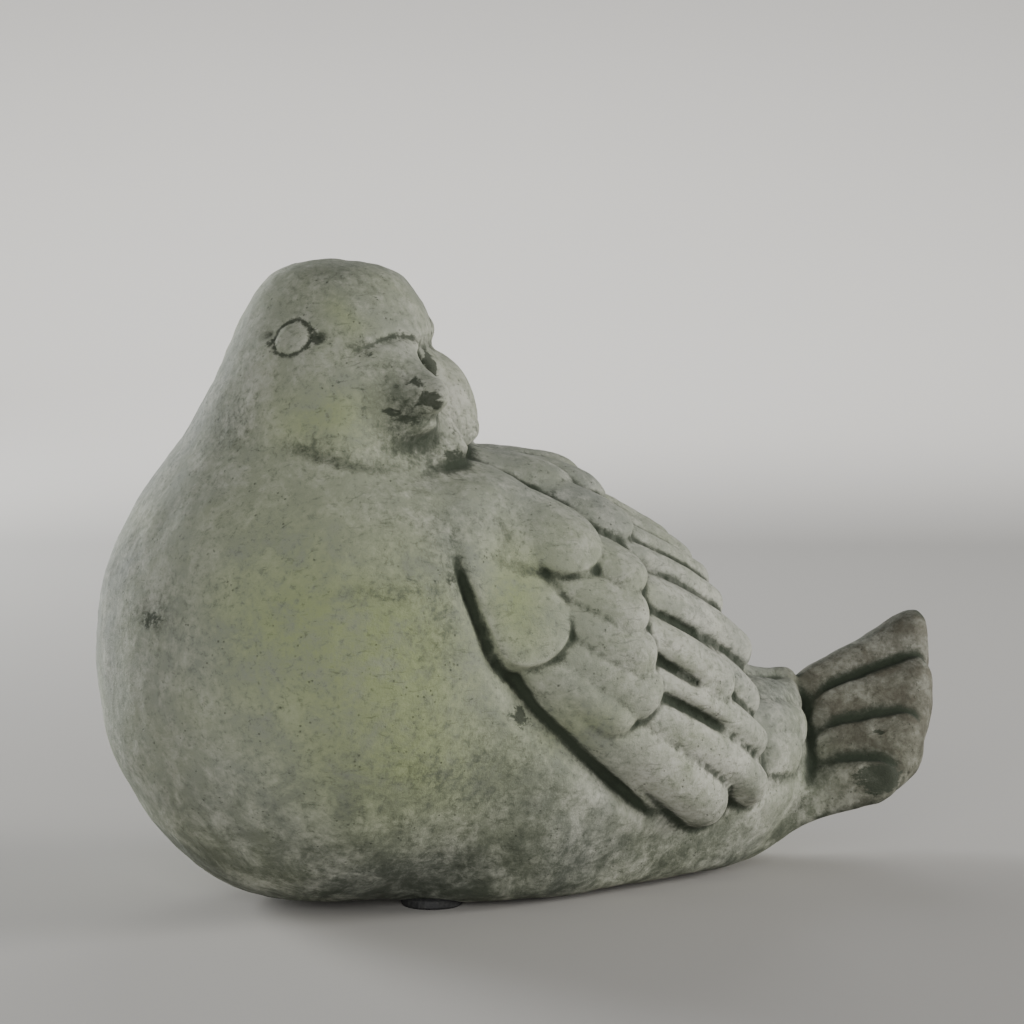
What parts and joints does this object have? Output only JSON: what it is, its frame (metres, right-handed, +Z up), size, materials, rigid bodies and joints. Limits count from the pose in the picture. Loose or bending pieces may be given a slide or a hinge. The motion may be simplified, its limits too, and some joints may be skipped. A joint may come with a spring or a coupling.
{
  "type": "cement bird figurine",
  "caption": "Plump resting bird cast in weathered cement, head turned to look back over its shoulder, standing on small rubber pads.",
  "frame": {"origin": "on the surface it stands on, under the middle of its outline", "axes": "+Z up, the tail towards +X, the breast towards -X, the bird looks towards -Y"},
  "size_m": [0.1914, 0.1003, 0.1308],
  "materials": {
    "cement": "matt weathered grey-green cement with dark grime in the hollows",
    "pad_rubber": "matt black rubber"
  },
  "bodies": {
    "root": {"cement_bird": "cement", "pad_near": "pad_rubber", "pad_far": "pad_rubber", "pad_tail_end": "pad_rubber"}
  },
  "joints": []
}
